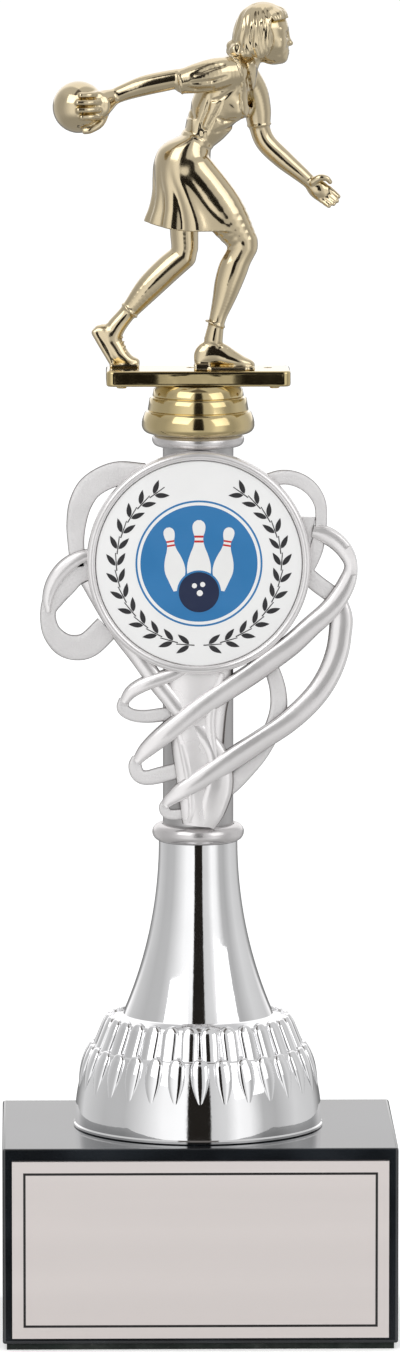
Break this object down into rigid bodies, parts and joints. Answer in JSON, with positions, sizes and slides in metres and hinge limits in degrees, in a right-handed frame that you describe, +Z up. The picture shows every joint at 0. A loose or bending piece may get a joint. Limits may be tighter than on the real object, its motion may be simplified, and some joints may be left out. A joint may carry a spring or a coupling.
{
  "type": "bowling trophy",
  "caption": "Tall bowling trophy: black stone block with a blank name plate, ribbed chrome cone, column with a scrolled medallion frame, and a gold bowler on a stepped pedestal.",
  "frame": {"origin": "middle of the block's underside, on the surface the trophy stands on", "axes": "+Z up along the tie rod; the name plate and the medallion face -Y; +X to the right seen from the front, the way the bowler faces"},
  "size_m": [0.096, 0.0712, 0.325],
  "materials": {
    "felt": "dense black-green felt",
    "stone": "polished black stone",
    "label": "matt silver printed name plate, left blank",
    "ink": "black printed line",
    "tape": "double-sided adhesive",
    "steel": "zinc-plated threaded steel",
    "chrome_plate": "bright chrome plating on plastic",
    "silver_plate": "bright and sandblasted silver plating on plastic",
    "column_satin": "satin silver tube",
    "gold_plate": "pale champagne-gold plating on plastic",
    "medallion": null
  },
  "bodies": {
    "root": {"felt_pad": "felt", "stone_block": "stone", "name_plate_tape": "tape", "name_plate": "label", "name_plate_border": "ink", "tie_rod": "steel", "bottom_nut": "steel", "flat_washer": "steel", "spring_washer": "steel", "cone_shell": "chrome_plate", "lower_collar": "chrome_plate", "column_tube": "column_satin", "upper_collar": "chrome_plate", "scroll_frame": "silver_plate", "frame_pegs": "silver_plate", "medallion_tape": "tape", "medallion_disc": "medallion", "stepped_pedestal": "gold_plate", "pedestal_nut": "steel", "lane_plate": "gold_plate", "bowler_figure": "gold_plate"}
  },
  "joints": []
}
